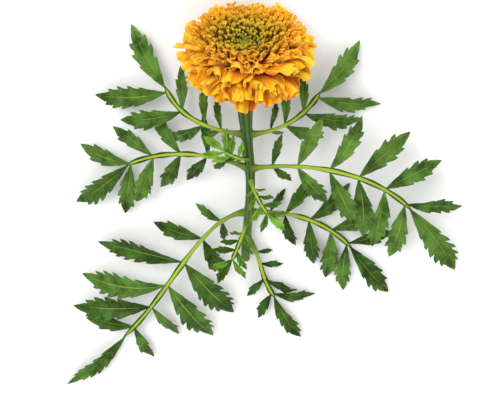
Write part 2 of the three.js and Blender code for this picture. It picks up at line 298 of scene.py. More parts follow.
class MarigoldStage(bpy.types.PropertyGroup):
    """The floor, the lights and the camera"""

    view_height: bpy.props.FloatProperty(
        name="View height",
        description="Angle of the view above the plane of the flower's rim",
        default=math.radians(32.0),
        subtype="ANGLE",
        unit="ROTATION",
    )
    distance: bpy.props.FloatProperty(
        name="Camera distance",
        description="Distance from the camera to the middle of the head",
        default=0.80,
        subtype="DISTANCE",
        unit="LENGTH",
    )
    lens: bpy.props.FloatProperty(
        name="Lens",
        description="Focal length on a 36 mm wide sensor, in millimetres",
        default=104.7,
    )
    key_strength: bpy.props.FloatProperty(
        name="Key light",
        description="Strength of the wide soft light above the flower",
        default=1.65,
    )
    surround: bpy.props.FloatProperty(
        name="Surround",
        description="Brightness of the even light from all round",
        default=0.96,
    )
    floor_colour: bpy.props.FloatVectorProperty(
        name="Floor",
        description="Colour of the plain floor",
        default=(0.86, 0.86, 0.85),
        subtype="COLOR",
    )


class MarigoldSettings(bpy.types.PropertyGroup):
    """All of the flower's settings, group by group"""

    head: bpy.props.PointerProperty(type=MarigoldHead)
    greens: bpy.props.PointerProperty(type=MarigoldGreens)
    stage: bpy.props.PointerProperty(type=MarigoldStage)


# Small maths
# -----------


def scatter(*numbers):
    """A repeatable number between 0 and 1 for these numbers."""
    total = sum(n * weight for n, weight in zip(numbers, (12.9898, 78.233, 37.719)))
    return math.sin(total) * 43758.5453 % 1.0


def between(low, high, *numbers):
    """A repeatable number between low and high. A piece's own number comes first, and then
    one that tells its uses of this apart."""
    return low + (high - low) * scatter(*numbers)


def ease(values):
    """Smooth 0 to 1 for values that run from 0 to 1."""
    held = np.clip(values, 0.0, 1.0)
    return held * held * (3.0 - 2.0 * held)


def unit(vectors):
    """The vectors at length 1."""
    return vectors / np.maximum(np.linalg.norm(vectors, axis=-1, keepdims=True), 1e-12)


def grid(rows, columns):
    """Two arrays of that many rows and columns: 0 to 1 down the rows, -1 to 1 across."""
    return np.meshgrid(np.linspace(0, 1, rows), np.linspace(-1, 1, columns), indexing="ij")


def circle(count):
    """That many angles, evenly spaced round a full turn."""
    return np.linspace(0, 2 * math.pi, count, endpoint=False)


def bezier(points, s):
    """Points on a Bezier curve of any degree and its unit direction, at every s."""
    points = np.asarray(points, float)
    s = np.asarray(s, float)[..., None]
    degree = len(points) - 1

    def blend(stops):
        order = len(stops) - 1
        weights = (math.comb(order, i) * s**i * (1 - s) ** (order - i) for i in range(order + 1))
        return sum(w * p for w, p in zip(weights, stops))

    return blend(points), unit(degree * blend(np.diff(points, axis=0)))


def outline_at(t):
    """A point on the head's outline, as radius and height: 0 at the skirt, 1 in the middle."""
    last = len(HEAD_OUTLINE) - 1
    place = min(max(t, 0.0), 1.0) * last
    i = min(int(place), last - 1)
    f = place - i
    before, here, after, beyond = (HEAD_OUTLINE[min(max(i + n, 0), last)] for n in (-1, 0, 1, 2))
    v0, v1 = (after - before) / 2, (beyond - here) / 2
    cubic = (2 * here - 2 * after + v0 + v1) * f**3
    return cubic + (-3 * here + 3 * after - 2 * v0 - v1) * f**2 + v0 * f + here


def outline_facing(t):
    """Unit directions at that point: straight out of the head, and down to its skirt."""
    step = 0.01
    inward = unit(outline_at(t + step) - outline_at(t - step))
    return np.array([inward[1], -inward[0]]), -inward


def unevenness(t, turn):
    """How far a floret's tip stands out of the round outline at that point and turn."""
    stops = np.arange(0, 360, 360 / len(HEAD_UNEVEN))
    stands_out = np.interp(math.degrees(turn), stops, HEAD_UNEVEN, period=360)
    return stands_out * float(1 - ease((t - 0.5) / 0.25))


# Where things lie
# ----------------


def stem_length(head):
    """From the involucre's rim back to the cut end, whose lower edge rests on the surface."""
    tip, height = head.face_tip, head.axis_height / MM
    return (height - STEM_END_RADIUS * math.cos(tip)) / math.sin(tip)


def bloom_to_world(head):
    """The 4 by 4 matrix from the flower's own frame, in millimetres, to the world."""
    tip, height = head.face_tip, head.axis_height / MM
    stem_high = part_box("stem")[1]
    ring_low, ring_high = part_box("crest_florets")
    behind = stem_length(head) * math.cos(tip) + STEM_END_RADIUS * math.sin(tip)
    rim = Vector(((ring_low.x + ring_high.x) / 2, stem_high.y - behind * MM, height * MM))
    turn = Matrix.Rotation(math.pi, 4, "Z") @ Matrix.Rotation(tip - math.pi / 2, 4, "X")
    return Matrix.Translation(rim) @ turn @ Matrix.Scale(MM, 4)


def to_world(matrix, points):
    """The points, each a row of x, y and z, taken through the matrix."""
    m = np.array(matrix)
    return points @ m[:3, :3].T + m[:3, 3]


def settle(points, depth=0.0024):
    """Bends whatever would reach below the surface so that it lies along it."""
    low = points[..., 2] < depth
    points[..., 2][low] = depth * np.exp((points[..., 2][low] - depth) / depth)
    return points


# Meshes
# ------


class Skin:
    """Gathers closed shells and tubes, in world metres, into one mesh."""

    def __init__(self):
        self.points, self.quads, self.triangles, self.tags = [], [], [], []
        self.count = 0

    def add(self, points, quads, triangles, tags):
        """Adds points, the faces between them, and the named values that each point carries."""
        self.quads.append(np.asarray(quads, int).reshape(-1, 4) + self.count)
        self.triangles.append(np.asarray(triangles, int).reshape(-1, 3) + self.count)
        self.points.append(points)
        self.tags.append({name: np.broadcast_to(v, len(points)) for name, v in tags.items()})
        self.count += len(points)

    def shell(self, sheet, thickness, tags):
        """A sheet of points, given a thickness and closed round its edge. Its face tag is 1
        on its upper side and 0 underneath."""
        rows, columns = sheet.shape[:2]
        facing = unit(np.cross(np.gradient(sheet, axis=0), np.gradient(sheet, axis=1)))
        half = (np.broadcast_to(thickness, (rows, columns)) / 2)[..., None] * facing
        both = np.concatenate([(sheet + half).reshape(-1, 3), (sheet - half).reshape(-1, 3)])
        top = np.arange(rows * columns).reshape(rows, columns)
        under = top + rows * columns

        def faces(a):
            return np.stack([a[:-1, :-1], a[1:, :-1], a[1:, 1:], a[:-1, 1:]], -1).reshape(-1, 4)

        def wall(a, b):
            return np.stack([a[:-1], b[:-1], b[1:], a[1:]], -1)

        quads = np.concatenate(
            [
                faces(top),
                faces(under)[:, ::-1],
                wall(top[:, 0], under[:, 0]),
                wall(top[:, -1], under[:, -1])[:, ::-1],
                wall(top[0], under[0])[:, ::-1],
                wall(top[-1], under[-1]),
            ]
        )
        doubled = {"face": np.repeat([1.0, 0.0], rows * columns)}
        for name, v in tags.items():
            doubled[name] = np.tile(np.broadcast_to(v, (rows, columns)).ravel(), 2)
        self.add(both, quads, [], doubled)

    def tube(self, loops, tags):
        """A tube through matching loops of points, closed at both ends."""
        rows, around = loops.shape[:2]
        ring = np.arange(rows * around).reshape(rows, around)
        following = np.roll(ring, -1, axis=1)
        quads = np.stack([ring[:-1], following[:-1], following[1:], ring[1:]], -1).reshape(-1, 4)
        ends = np.array([loops[0].mean(0), loops[-1].mean(0)])
        first, last = rows * around, rows * around + 1
        caps = np.concatenate(
            [
                np.stack([np.full(around, first), following[0], ring[0]], -1),
                np.stack([np.full(around, last), ring[-1], following[-1]], -1),
            ]
        )
        padded = {}
        for name, v in tags.items():
            full = np.broadcast_to(v, (rows, around))
            padded[name] = np.append(full.ravel(), [full[0].mean(), full[-1].mean()])
        padded.setdefault("face", 1.0)
        self.add(np.concatenate([loops.reshape(-1, 3), ends]), quads, caps, padded)

    def build(self, name, material, slot, *nodes):
        """Makes the mesh object, gives it its finish and hides the parts of the nodes that it
        stands for.
        """
        quads, triangles = np.concatenate(self.quads), np.concatenate(self.triangles)
        mesh = bpy.data.meshes.new(name)
        mesh.vertices.add(self.count)
        mesh.vertices.foreach_set("co", np.concatenate(self.points).ravel())
        corners = np.concatenate([quads.ravel(), triangles.ravel()])
        starts = np.append(
            np.arange(len(quads)) * 4, len(quads) * 4 + np.arange(len(triangles)) * 3
        )
        mesh.loops.add(len(corners))
        mesh.loops.foreach_set("vertex_index", corners)
        mesh.polygons.add(len(starts))
        mesh.polygons.foreach_set("loop_start", starts)
        mesh.update(calc_edges=True)
        mesh.shade_smooth()
        mesh.set_sharp_from_angle(angle=SHARP_FOLD)
        for tag in self.tags[0]:
            values = np.concatenate([t[tag] for t in self.tags])
            mesh.attributes.new(tag, "FLOAT", "POINT").data.foreach_set("value", values)
        piece = bpy.data.objects.new(name, mesh)
        bpy.context.scene.collection.objects.link(piece)
        mesh.materials.append(material)
        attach(piece, "root")
        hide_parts(*nodes)


# Finishes
# --------


class Finish:
    """A material under construction, with short calls for the nodes that it needs."""

    def __init__(self, name):
        self.material = bpy.data.materials.new(name)
        self.material.use_nodes = True
        self.tree = self.material.node_tree
        self.tree.nodes.clear()

    def node(self, kind, **settings):
        made = self.tree.nodes.new(kind)
        for key, value in settings.items():
            setattr(made, key, value)
        return made

    def join(self, value, socket):
        """Links a socket to another, or sets a plain value on it."""
        if isinstance(value, bpy.types.NodeSocket):
            self.tree.links.new(value, socket)
        else:
            socket.default_value = value

    def tag(self, name):
        """The value of that name that each point of the mesh carries."""
        return self.node("ShaderNodeAttribute", attribute_name=name).outputs["Fac"]

    def maths(self, operation, a, b=0.0):
        made = self.node("ShaderNodeMath", operation=operation)
        self.join(a, made.inputs[0])
        self.join(b, made.inputs[1])
        return made.outputs[0]

    def times(self, a, b):
        return self.maths("MULTIPLY", a, b)

    def shift(self, value, by, amount):
        """value, moved down to up by half that amount as by runs from 0 to 1."""
        return self.maths("ADD", value, self.times(self.maths("SUBTRACT", by, 0.5), amount))

    def spread(self, value, low, high, first=0.0, last=1.0):
        """value, with low to high mapped onto first to last and held at both ends."""
        made = self.node("ShaderNodeMapRange", interpolation_type="SMOOTHSTEP")
        for entry, socket in zip((value, low, high, first, last), made.inputs):
            self.join(entry, socket)
        return made.outputs[0]

    def mix(self, factor, a, b, blend="MIX"):
        made = self.node("ShaderNodeMix", data_type="RGBA", blend_type=blend)
        for entry, index in ((factor, 0), (a, 6), (b, 7)):
            if not isinstance(entry, bpy.types.NodeSocket) and index > 0:
                entry = (*entry[:3], 1.0)
            self.join(entry, made.inputs[index])
        return made.outputs[2]

    def tint(self, colour, part, first, last=(1.0, 1.0, 1.0)):
        """colour times another one, which runs from first to last as part runs from 0 to 1."""
        return self.mix(1.0, colour, self.mix(part, first, last), "MULTIPLY")

    def place(self, x, y, z):
        made = self.node("ShaderNodeCombineXYZ")
        for value, socket in zip((x, y, z), made.inputs):
            self.join(value, socket)
        return made.outputs[0]

    def object_place(self):
        return self.node("ShaderNodeTexCoord").outputs["Object"]

    def noise(self, vector, scale, detail, roughness=0.55):
        made = self.node("ShaderNodeTexNoise")
        self.join(vector, made.inputs["Vector"])
        made.inputs["Scale"].default_value = scale
        made.inputs["Detail"].default_value = detail
        made.inputs["Roughness"].default_value = roughness
        return made.outputs["Fac"]

    def bump(self, height, distance, strength):
        made = self.node("ShaderNodeBump")
        made.inputs["Distance"].default_value = distance
        made.inputs["Strength"].default_value = strength
        self.join(height, made.inputs["Height"])
        return made.outputs["Normal"]

    def skin(self, colour, roughness, normal=None, through=0.0, **constants):
        """The surface: a soft body that lets the given part of the light through."""
        body = self.node("ShaderNodeBsdfPrincipled")
        self.join(colour, body.inputs["Base Color"])
        self.join(roughness, body.inputs["Roughness"])
        for name, value in constants.items():
            body.inputs[name.replace("_", " ")].default_value = value
        if normal is not None:
            self.join(normal, body.inputs["Normal"])
        out = self.node("ShaderNodeOutputMaterial")
        if through == 0:
            self.join(body.outputs[0], out.inputs["Surface"])
            return self.material
        glow = self.node("ShaderNodeBsdfTranslucent")
        self.join(colour, glow.inputs["Color"])
        both = self.node("ShaderNodeMixShader")
        both.inputs[0].default_value = through
        self.join(body.outputs[0], both.inputs[1])
        self.join(glow.outputs[0], both.inputs[2])
        self.join(both.outputs[0], out.inputs["Surface"])
        return self.material


def shared_finish(name, make, *colours):
    """The material of that name, made when the first of its pieces is."""
    return bpy.data.materials.get(name) or make(name, *colours)


def petal_finish(name, head):
    """Satin petal: deep orange in throats, golden at edges, greener in the middle, with painted
    shade in its creases, on the skirt and at the florets' feet, and a painted highlight on its
    fold ridges.
    """
    f = Finish(name)
    # along runs from a floret's foot to its tip, and age from the skirt to the middle.
    along, across, age, fold, face, chance = (
        f.tag(tag) for tag in ("along", "across", "age", "fold", "face", "chance")
    )
    streaks = f.noise(f.place(f.times(across, 9.0), along, chance), 2.0, 2.0)
    patches = f.noise(f.object_place(), 190.0, 2.0)
    level = along
    # Random streaks, patches and chance move the level. The fold raises it on the folds' ridges, a
    # painted highlight, and lowers it in their valleys, painted shade.
    for part, amount in ((streaks, 0.20), (patches, 0.24), (fold, 0.34), (chance, 0.14)):
        level = f.shift(level, part, amount)
    lower = f.mix(f.spread(level, 0.50, 0.80), head.throat_colour, head.limb_colour)
    petal = f.mix(f.spread(level, 0.78, 1.06), lower, head.edge_colour)
    # This tint is painted shade on the florets' lower parts, deep in the head: brown, then
    # greenish towards the middle. On the skirt it lifts the throat towards yellow instead.
    shaft_shade = f.mix(f.spread(age, 0.0, 0.3), (1.0, 1.5, 6.0), (0.32, 0.25, 0.12))
    shaft_shade = f.mix(f.spread(age, 0.6, 0.78), shaft_shade, (0.34, 0.40, 0.15))
    veins = f.noise(f.place(f.times(across, 26.0), along, chance), 1.6, 2.0)
    skirt, crease, between_veins = (0.94, 0.84, 0.75), (0.74, 0.52, 0.5), (0.93, 0.83, 0.76)
    petal = f.tint(petal, f.spread(along, 0.30, 0.62), shaft_shade)
    # skirt is painted shade on the outermost florets, fading out a quarter of the way up the head.
    petal = f.tint(petal, f.spread(age, 0.02, 0.24), skirt)
    # crease is painted shade, darkening the valleys of the folds.
    petal = f.tint(petal, f.spread(fold, 0.02, 0.42), crease)
    petal = f.tint(petal, f.spread(veins, 0.32, 0.58), between_veins)
    petal = f.mix(f.spread(face, 0.9, 0.1, 0.0, 0.4), petal, (0.97, 0.60, 0.06))
    # The inner florets and the buds run from painted shade at their feet, deep among their
    # neighbours, to their own olive, lime and green at their tips.
    olive = f.mix(f.spread(along, 0.62, 0.98), (0.30, 0.165, 0.012), (0.84, 0.50, 0.018))
    inner = f.mix(f.spread(age, 0.74, 0.86), petal, olive)
    lime = f.mix(f.spread(along, 0.66, 0.98), (0.07, 0.08, 0.008), (0.70, 0.60, 0.032))
    inner = f.mix(f.spread(f.shift(age, chance, 0.07), 0.87, 0.935), inner, lime)
    green = f.mix(f.spread(along, 0.74, 1.0), (0.02, 0.03, 0.004), head.centre_colour)
    colour = f.mix(f.spread(age, 0.93, 0.985), inner, green)
    return f.skin(
        colour,
        0.55,
        f.bump(veins, 0.0002, 0.7),
        through=0.12,
        Specular_IOR_Level=0.22,
        Sheen_Weight=0.08,
    )


def leaf_finish(name, blade_colour, rib_colour):
    """Satin leaf: darker between the veins, paler along the ribs and underneath, tinted from
    painted shade to painted sheen by leaflet, with a painted highlight along the top of each
    midrib.
    """
    f = Finish(name)
    along, across, vein, rib, face, chance = (
        f.tag(tag) for tag in ("along", "across", "vein", "rib", "face", "chance")
    )
    cloud = f.noise(f.object_place(), 90.0, 4.0, 0.6)
    deep = tuple(c * 0.5 for c in blade_colour)
    light = tuple(c * 1.8 for c in blade_colour)
    blade = f.mix(f.spread(f.shift(cloud, chance, 0.2), 0.32, 0.70), deep, light)
    lines = f.spread(vein, 0.55, 1.0)
    blade = f.mix(f.times(lines, 0.13), blade, rib_colour)
    pale = tuple(0.8 * c + 0.05 for c in blade_colour)
    blade = f.mix(f.spread(face, 0.9, 0.1, 0.0, 0.6), blade, pale)
    # By chance, which is partly random and rises up the stem, each leaflet is tinted from shaded,
    # a painted shade, to a paler, bluer painted sheen.
    shaded, painted_sheen = (0.68, 0.72, 0.80), (1.44, 1.27, 1.6)
    blade = f.tint(blade, f.spread(chance, 0.1, 1.0), shaded, painted_sheen)
    middle = f.spread(f.maths("ABSOLUTE", across), 0.02, 0.075, 1.0, 0.0)
    middle = f.times(middle, f.spread(along, 0.25, 1.0, 0.62, 0.25))
    streak = f.noise(f.place(along, f.times(across, 5.0), chance), 5.0, 3.0)
    dull = tuple(c * 0.75 for c in rib_colour)
    ribbed = f.mix(f.spread(streak, 0.35, 0.6), dull, rib_colour)
    colour = f.mix(f.maths("MAXIMUM", rib, middle), blade, ribbed)
    pores = f.noise(f.object_place(), 900.0, 2.0)
    relief = f.maths("ADD", f.times(lines, -0.8), f.times(pores, 0.6))
    return f.skin(
        colour,
        f.spread(cloud, 0.3, 0.7, 0.28, 0.5),
        f.bump(relief, 0.0002, 0.8),
        through=0.1,
        Specular_IOR_Level=0.09,
    )


def stem_finish(name, colour):
    """Ribbed green skin, paler on its ribs and yellower towards the cut end."""
    f = Finish(name)
    ridge, level = f.tag("ridge"), f.tag("along")
    grain = f.noise(f.object_place(), 420.0, 3.0)
    deep = tuple(c * 0.8 for c in colour)
    light = tuple(c * 2.1 for c in colour)
    skin = f.mix(f.spread(f.maths("ADD", ridge, grain), 0.4, 1.6), deep, light)
    yellowed = (0.20, 0.22, 0.06)
    skin = f.mix(f.spread(level, 0.0, 0.5, 0.35, 0.0), skin, yellowed)
    return f.skin(skin, 0.45, f.bump(grain, 0.0001, 0.5), Specular_IOR_Level=0.2)


def pith_finish():
    """The cut end: pale spongy pith inside a ring of green fibres."""
    f = Finish("cut pith")
    ring = f.spread(f.tag("along"), 0.68, 0.9)
    cells = f.noise(f.object_place(), 2600.0, 3.0)
    hollows, spongy, fibres = (0.50, 0.52, 0.30), (0.74, 0.74, 0.52), (0.19, 0.30, 0.09)
    colour = f.mix(ring, f.mix(cells, hollows, spongy), fibres)
    return f.skin(colour, 0.7, f.bump(cells, 0.0002, 0.8))


# Florets
# -------


def heart_point(t):
    """Where a floret stands on the receptacle, as radius and height."""
    turn = t * math.pi / 2
    return np.array(
        [HEART["radius"] * math.cos(turn), HEART["base"] + HEART["rise"] * math.sin(turn)]
    )


def floret_path(t, tip, curl, reach):
    """Curve of a floret from the receptacle to its tip, leaving curled over by that angle."""
    inside = heart_point(t)
    outward, down = outline_facing(t)
    leaving = outward * math.cos(curl) + down * math.sin(curl)
    shoulder = tip - reach * leaving
    waist = inside + (shoulder - inside) * 0.45
    waist[1] += 4.0 * (1 - t) ** 2
    return np.array([inside, waist, shoulder, tip])


def sheet_on_path(path, turn, s, x, z):
    """A sheet in the flower's frame: s along the path, x to its side, z off its upper face."""
    at, way = bezier(path, s)
    out = np.array([math.cos(turn), math.sin(turn), 0.0])
    side = np.array([-math.sin(turn), math.cos(turn), 0.0])
    axis = np.array([0.0, 0.0, 1.0])
    centre = at[..., :1] * out + at[..., 1:] * axis
    lift = way[..., :1] * axis - way[..., 1:] * out
    return centre + x[..., None] * side + z[..., None] * lift


def curl_at(t):
    """How far a floret's limb is curled towards the skirt, in degrees."""
    return float(np.interp(t, [0, 0.12, 0.3, 0.45, 0.57, 0.7, 0.8], [16, 27, 36, 35, 26, 12, 4]))


def ripple(phase, depth):
    """Folds of that depth: how far they lift the sheet, and how far they lean along it."""
    return depth * np.sin(phase), -0.45 * depth * np.sin(2 * phase)


def rolled(x, z, angle):
    """x and z turned about the floret's path."""
    return x * np.cos(angle) - z * np.sin(angle), x * np.sin(angle) + z * np.cos(angle)


def fan_sheet(k, t, turn, size, back, head):
    """One broad floret: a narrow claw and a fan-shaped limb, crumpled and crimped at its edge."""
    outward, down = outline_facing(t)
    tip = outline_at(t) + down * between(-1.4, 1.4, k, 2)
    tip = tip + outward * (between(-2.4, 0.8, k, 1) - back + unevenness(t, turn))
    curl = math.radians(curl_at(t) + between(-20, 20, k, 3))
    path = floret_path(t, tip, curl, between(9.5, 12.5, k, 4))
    turn += math.radians(between(-4, 4, k, 5))

    # s runs from the foot to the tip and q from edge to edge, over a claw that opens out
    # into the limb.
    s, q = grid(*FAN_GRID)
    s = 1 - (1 - s) ** 1.3
    edge = ease((s - 0.8) / 0.2)
    open_limb = ease((s - 0.38) / 0.58)
    half = size * head.limb_width / MM / 2 * (1 + 0.3 * max(0.0, 1 - t / 0.2))
    width = CLAW_HALF_WIDTH + (half - CLAW_HALF_WIDTH) * ease((s - 0.22) / 0.58)

    # Broad folds and finer crimps follow lines that bend on their way to the edge.
    depth = head.ruffle / MM
    bent = q + 0.16 * np.sin(2.7 * q + between(0, 6.3, k, 10)) + 0.06 * np.sin(9 * s + k)
    bent = bent + between(-0.5, 0.5, k, 21) * (s - 0.7)
    broad = math.pi * between(0.9, 2.1, k, 8) * bent + between(0, 6.3, k, 9)
    crimp = math.pi * between(3.4, 6.4, k, 11) * bent + between(0, 6.3, k, 12) + 1.2 * s
    lift, lean = ripple(broad, depth * between(0.35, 1.1, k, 7) * open_limb)
    strength = depth * between(0.4, 1.0, k, 19) * (0.7 + 0.3 * np.sin(3.1 * q + k))
    lift2, lean2 = ripple(crimp, strength * ease((s - 0.64) / 0.36) ** 1.5)
    z = lift + lift2 + 0.25 * np.sin(math.pi * 9 * q + k) * edge
    x = q * width * (1 - 0.10 * open_limb - 0.10 * edge) + lean + lean2
    # fold, the sheet's height in its folds from valley to ridge, carries the petal finish's
    # painted shade and painted highlight.
    fold = np.clip(0.5 + z / (2.2 * depth), 0, 1)

    # A crease, a curled tip, slow waves, a sideways sweep and a roll tell the florets apart.
    crease = between(-0.5, 0.5, k, 13)
    z += between(-1.6, 2.2, k, 14) * np.abs(q - crease) ** 1.3 * open_limb
    z -= between(-1.9, 1.7, k, 15) * ease((s - 0.7) / 0.3) ** 2
    z += 0.45 * np.sin(9 * s + 3 * q + between(0, 6.3, k, 16)) * open_limb
    x += between(-3.2, 3.2, k, 22) * np.clip(s - 0.35, 0, 1) ** 2 / 0.42
    x, z = rolled(x, z, math.radians(between(-26, 26, k, 17)) * open_limb)

    # The limb is longest in its middle, and its end is shallowly lobed.
    lobes = np.sin(0.5 * math.pi * between(4, 7, k, 18) * bent + k)
    length = 1 - 0.25 * np.abs(q) ** 2.4 + 0.024 * lobes * edge
    sheet = sheet_on_path(path, turn, s * length, x, z)
    thickness = head.petal_thickness * (1 - 0.6 * np.maximum(edge, q**4))
    tags = {"along": s, "across": q, "age": t, "fold": fold, "chance": scatter(k, 20)}
    return sheet, thickness, tags


def quill_sheet(k, t, mouth, opening, fineness, head):
    """One quilled floret: a tube slit down its inner side that widens to a wavy, curled tip."""
    outward, down = outline_facing(t)
    turn = k * GOLDEN_ANGLE + math.radians(between(-3, 3, k, 5))
    tip = outline_at(t) + outward * (between(-1.9, 1.1, k, 1) + unevenness(t, turn))
    tip = tip + down * between(-0.9, 0.9, k, 2)
    curl = math.radians(curl_at(t) + between(-14, 14, k, 3))
    path = floret_path(t, tip, curl, between(5.0, 8.0, k, 4))
    far = np.linalg.norm(path[-1] - path[0]) * 1.03

    # u runs up the tube and q round it, from one edge of its slit to the other.
    u, q = grid(*fineness)
    flare = ease((u - 0.15) / 0.85)
    spread = q * math.radians(opening) / 2 * (1.3 - 0.3 * ease(u / 0.5))
    phase = between(1.6, 2.8, k, 8) * math.pi * q + between(0, 6.3, k, 10) + 1.5 * u
    wavy = np.sin(phase)
    radius = mouth * (0.38 + 0.62 * flare) * (1 + 0.16 * flare * wavy)
    # The mouth is notched at the slit and wavy round it, and curls over or stands open.
    limb = mouth * between(2.8, 5.0, k, 9)
    notch = 0.55 * np.abs(q) ** 2.5 + 0.16 * np.sin(phase + 1.1)
    deep = far - limb * (1 - u) - 4.0 * (1 - ease(u / 0.4))
    deep = deep - mouth * ease((u - 0.5) / 0.5) * notch
    x = radius * np.sin(spread) * between(0.95, 1.25, k, 12)
    z = -radius * np.cos(spread) * between(0.7, 1.0, k, 13)
    z = z - mouth * between(-0.5, 1.1, k, 6) * ease((u - 0.55) / 0.45) ** 1.5
    z = z + 0.16 * mouth * flare * np.sin(5 * u + 3 * q + between(0, 6.3, k, 15))
    x, z = rolled(x, z, math.radians(between(-45, 45, k, 14)))
    sheet = sheet_on_path(path, turn, deep / far, x, z)
    thickness = head.petal_thickness * (1 - 0.6 * np.maximum(ease((u - 0.8) / 0.2), q**4))
    # fold follows the mouth's waves and carries the petal finish's painted shade and painted
    # highlight.
    along, fold = 0.45 + 0.55 * u**0.65, 0.5 + 0.5 * wavy * flare
    tags = {"along": along, "across": q, "age": t, "fold": fold, "chance": scatter(k, 20)}
    return sheet, thickness, tags


def bud_sheet(k, t, head):
    """One unopened floret of the middle: a slim ribbed bud that closes to a point."""
    tip = outline_at(t) + np.array([0, between(-1.6, 0.7, k, 1)])
    path = floret_path(t, tip, 0.0, 5.0)
    u, q = grid(*BUD_GRID)
    s = 0.35 + 0.65 * u
    spread = q * math.pi * 0.98
    swell = np.interp(u, [0, 0.55, 0.82, 0.93, 1.0], [0.4, 0.5, 0.72, 0.55, 0.12])
    radius = swell * between(0.7, 1.0, k, 2) * (1 + 0.14 * np.cos(5 * spread))
    x, z = radius * np.sin(spread), -radius * np.cos(spread)
    sheet = sheet_on_path(path, k * GOLDEN_ANGLE, s, x, z)
    tags = {"along": s, "across": q, "age": t, "fold": 0.5, "chance": scatter(k, 20)}
    return sheet, head.petal_thickness, tags


def add_floret(skin, matrix, sheet, thickness, tags):
    """Adds a floret's sheet, eased onto the surface where it would reach below."""
    skin.shell(settle(to_world(matrix, sheet)), thickness, tags)


def add_claws(skin, matrix, count):
    """The close-packed tubes of the florets' lower ends, which fill the head's heart."""
    for i in range(count):
        t = 0.16 + 0.78 * (i + 0.5) / count
        path = floret_path(t, outline_at(t), 0.0, 6.0)
        s, around = np.meshgrid(np.linspace(0, 0.62, 6), circle(8), indexing="ij")
        radius = (0.5 + 0.7 * s) * (1 - 0.8 * ease((s - 0.42) / 0.2))
        x, z = radius * np.cos(around), radius * np.sin(around)
        loops = sheet_on_path(path, (i + 900.5) * GOLDEN_ANGLE, s, x, z)
        # Their low along and their fold put them in the petal finish's painted shade, that of the
        # florets' lower parts and of the creases.
        tags = {"along": 0.3 + 0.3 * s, "across": 0.3, "age": t, "fold": 0.3, "chance": 0.4}
        skin.tube(settle(to_world(matrix, loops)), {**tags, "face": float(t > 0.35)})


class MARIGOLD_OT_ray_florets(bpy.types.Operator):
    """Builds the broad ruffled florets, one piece for each"""

    bl_idname = "marigold.ray_florets"
    bl_label = "Ray Florets"

    def execute(self, context):
        head = context.scene.marigold.head
        matrix = bloom_to_world(head)
        finish = shared_finish("petal satin", petal_finish, head)
        for k, node in enumerate(RAY_NODES):
            skin = Skin()
            t = RAY_SPAN * (k + 0.5) / len(RAY_NODES)
            size = between(0.8, 1.2, k, 6)
            add_floret(skin, matrix, *fan_sheet(k, t, k * GOLDEN_ANGLE, size, 0.0, head))
            skin.build(f"petal_{k + 1:02d}", finish, "ray_floret", node)
        return {"FINISHED"}


class MARIGOLD_OT_inner_florets(bpy.types.Operator):
    """Builds the crowded florets between the rays, the quilled ones and the middle's buds"""

    bl_idname = "marigold.inner_florets"
    bl_label = "Inner Florets"

    # The fans crowded between the rays: how many, how far up the outline, from which turn,
    # and how far back from it their tips stand.
    crowded_count = 44
    crowded_span = 0.68
    crowded_turn = 69.0
    crowded_back = 2.4
    # Each quilled zone: piece, kind of floret, how many, outline span, mouths at both ends
    # of the span, opening in degrees, and the rows and columns of each floret's sheet.
    zones = (
        ("crest_petals", "crest_floret", 136, (0.65, 0.79), (1.75, 1.3), 220, (15, 17)),
        ("inner_petals", "inner_floret", 340, (0.79, 0.968), (1.25, 0.48), 240, (12, 12)),
    )
    crowding = 1.12
    claw_count = 150
    # The buds: how many, where they start on the outline, and how far up it they reach.
    bud_count = 60
    bud_start = 0.96
    bud_reach = 0.039

    def execute(self, context):
        head = context.scene.marigold.head
        matrix = bloom_to_world(head)
        finish = shared_finish("petal satin", petal_finish, head)
        k = len(RAY_NODES)
        skin = Skin()
        for i in range(self.crowded_count):
            t = self.crowded_span * (i + 0.35) / self.crowded_count
            turn = i * GOLDEN_ANGLE + math.radians(self.crowded_turn)
            size = between(0.65, 1.0, k, 6)
            add_floret(skin, matrix, *fan_sheet(k, t, turn, size, self.crowded_back, head))
            k += 1
        skin.build("crowded_petals", finish, "crest_floret", "crest_florets")
        for piece, floret, count, span, mouths, opening, fineness in self.zones:
            skin = Skin()
            if floret == "crest_floret":
                add_claws(skin, matrix, self.claw_count)
            for i in range(count):
                part = ((i + 0.5) / count) ** self.crowding
                t = span[0] + (span[1] - span[0]) * part
                mouth = mouths[0] + (mouths[1] - mouths[0]) * part
                mouth *= between(0.75, 1.25, k, 30)
                wide = opening * between(0.8, 1.15, k, 31)
                add_floret(skin, matrix, *quill_sheet(k, t, mouth, wide, fineness, head))
                k += 1
            skin.build(piece, finish, floret, f"{floret}s")
        skin = Skin()
        for i in range(self.bud_count):
            t = self.bud_start + self.bud_reach * ((i + 0.5) / self.bud_count) ** 0.7
            add_floret(skin, matrix, *bud_sheet(k, t, head))
            k += 1
        skin.build("centre_buds", finish, "centre_bud", "centre_florets")
        return {"FINISHED"}


# Involucre and stem
# ------------------


